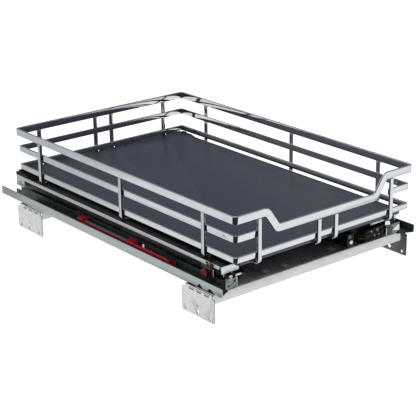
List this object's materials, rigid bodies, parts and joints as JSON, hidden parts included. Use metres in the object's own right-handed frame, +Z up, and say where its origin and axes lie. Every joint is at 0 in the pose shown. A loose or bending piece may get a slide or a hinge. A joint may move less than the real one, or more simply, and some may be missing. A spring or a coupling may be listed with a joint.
{
  "type": "pull-out cabinet basket",
  "caption": "Chrome flat-bar basket with a lowered front and solid panel, sliding out on full-extension undermount slides with side-mount brackets.",
  "frame": {"origin": "centre of the bounding box footprint, on the plane that the four bracket plates stand on", "axes": "+X to the right seen from the front, +Y to the back of the cabinet, +Z up; the basket pulls out along -Y"},
  "size_m": [0.3714, 0.56, 0.1528],
  "materials": {
    "chrome_bar": "polished",
    "panel_laminate": "satin laminate",
    "moving_steel": "galvanised",
    "bright_plate": "galvanised, bright",
    "black_plastic": "satin",
    "grip_plastic": "gloss",
    "middle_steel": "galvanised",
    "cage_plastic": "matte",
    "ball_steel": "polished",
    "red_plastic": "satin",
    "wheel_plastic": "satin",
    "damper_grey": "satin",
    "pin_steel": "polished",
    "rivet_steel": "satin",
    "yellow_zinc": "yellow passivated",
    "fixed_steel": "galvanised",
    "rail_zinc": "satin",
    "bracket_zinc": "zinc plated",
    "tray_black": "gloss"
  },
  "bodies": {
    "frame": {"cabinet_member_left": "fixed_steel", "cabinet_member_right": "fixed_steel", "damper_housing_left": "red_plastic", "damper_housing_right": "red_plastic", "damper_tube_left": "damper_grey", "damper_tube_right": "damper_grey", "front_rail": "rail_zinc", "rear_rail": "rail_zinc", "tray": "tray_black", "bracket_front_left": "bracket_zinc", "bracket_front_right": "bracket_zinc", "bracket_rear_left": "bracket_zinc", "bracket_rear_right": "bracket_zinc", "slide_rivets": "rivet_steel"},
    "basket": {"top_rail": "chrome_bar", "mid_rail": "chrome_bar", "bottom_rail": "chrome_bar", "bar_outer_left": "chrome_bar", "bar_outer_right": "chrome_bar", "bar_inner_left": "chrome_bar", "bar_inner_right": "chrome_bar", "post_left_front": "chrome_bar", "post_left_middle": "chrome_bar", "post_left_rear": "chrome_bar", "post_right_front": "chrome_bar", "post_right_middle": "chrome_bar", "post_right_rear": "chrome_bar", "panel": "panel_laminate", "drawer_member_left": "moving_steel", "drawer_member_right": "moving_steel", "rear_cap_left": "bright_plate", "rear_cap_right": "bright_plate", "rear_clip_left": "black_plastic", "rear_clip_right": "black_plastic", "lock_left": "black_plastic", "lock_right": "black_plastic", "lock_screws": "rivet_steel", "lock_pin": "pin_steel", "edge_screws": "yellow_zinc"},
    "release_left": {"release_rod_left": "pin_steel", "release_grip_left": "grip_plastic"},
    "adjuster_wheel_left": {"adjuster_left": "wheel_plastic"},
    "middle_left": {"middle_member_left": "middle_steel"},
    "lower_ball_set_left": {"lower_cage_left": "cage_plastic", "lower_balls_left": "ball_steel"},
    "upper_ball_set_left": {"upper_cage_left": "cage_plastic", "upper_balls_left": "ball_steel"},
    "catch_slider_left": {"catch_left": "red_plastic", "damper_rod_left": "pin_steel"},
    "release_right": {"release_rod_right": "pin_steel"},
    "adjuster_wheel_right": {"adjuster_right": "wheel_plastic"},
    "middle_right": {"middle_member_right": "middle_steel"},
    "lower_ball_set_right": {"lower_cage_right": "cage_plastic", "lower_balls_right": "ball_steel"},
    "upper_ball_set_right": {"upper_cage_right": "cage_plastic", "upper_balls_right": "ball_steel"},
    "catch_slider_right": {"catch_right": "red_plastic", "damper_rod_right": "pin_steel"}
  },
  "joints": [
    {"name": "basket_slide", "type": "slide", "parent": "frame", "child": "basket", "axis": [0, -1, 0], "range_m": [0, 0.53]},
    {"name": "middle_left_slide", "type": "slide", "parent": "frame", "child": "middle_left", "axis": [0, -1, 0], "range_m": [0, 0.265]},
    {"name": "lower_ball_set_left_slide", "type": "slide", "parent": "frame", "child": "lower_ball_set_left", "axis": [0, -1, 0], "range_m": [0, 0.1325]},
    {"name": "upper_ball_set_left_slide", "type": "slide", "parent": "frame", "child": "upper_ball_set_left", "axis": [0, -1, 0], "range_m": [0, 0.3975]},
    {"name": "release_left_pull", "type": "slide", "parent": "basket", "child": "release_left", "axis": [1, 0, 0], "range_m": [0, 0.006], "stiffness_N_per_m": 300},
    {"name": "adjuster_left_turn", "type": "hinge", "parent": "basket", "child": "adjuster_wheel_left", "pos_m": [-0.171, -0.222, 0.0585], "axis": [1, 0, 0], "range_deg": [-180, 180]},
    {"name": "catch_left_slide", "type": "slide", "parent": "frame", "child": "catch_slider_left", "axis": [0, -1, 0], "range_m": [0, 0.045]},
    {"name": "middle_right_slide", "type": "slide", "parent": "frame", "child": "middle_right", "axis": [0, -1, 0], "range_m": [0, 0.265]},
    {"name": "lower_ball_set_right_slide", "type": "slide", "parent": "frame", "child": "lower_ball_set_right", "axis": [0, -1, 0], "range_m": [0, 0.1325]},
    {"name": "upper_ball_set_right_slide", "type": "slide", "parent": "frame", "child": "upper_ball_set_right", "axis": [0, -1, 0], "range_m": [0, 0.3975]},
    {"name": "release_right_pull", "type": "slide", "parent": "basket", "child": "release_right", "axis": [-1, 0, 0], "range_m": [0, 0.006], "stiffness_N_per_m": 300},
    {"name": "adjuster_right_turn", "type": "hinge", "parent": "basket", "child": "adjuster_wheel_right", "pos_m": [0.171, -0.222, 0.0585], "axis": [1, 0, 0], "range_deg": [-180, 180]},
    {"name": "catch_right_slide", "type": "slide", "parent": "frame", "child": "catch_slider_right", "axis": [0, -1, 0], "range_m": [0, 0.045]}
  ],
  "couplings": [
    {"joint": "middle_left_slide", "follows": "basket_slide", "ratio": 0.5},
    {"joint": "lower_ball_set_left_slide", "follows": "basket_slide", "ratio": 0.25},
    {"joint": "upper_ball_set_left_slide", "follows": "basket_slide", "ratio": 0.75},
    {"joint": "middle_right_slide", "follows": "basket_slide", "ratio": 0.5},
    {"joint": "lower_ball_set_right_slide", "follows": "basket_slide", "ratio": 0.25},
    {"joint": "upper_ball_set_right_slide", "follows": "basket_slide", "ratio": 0.75}
  ]
}
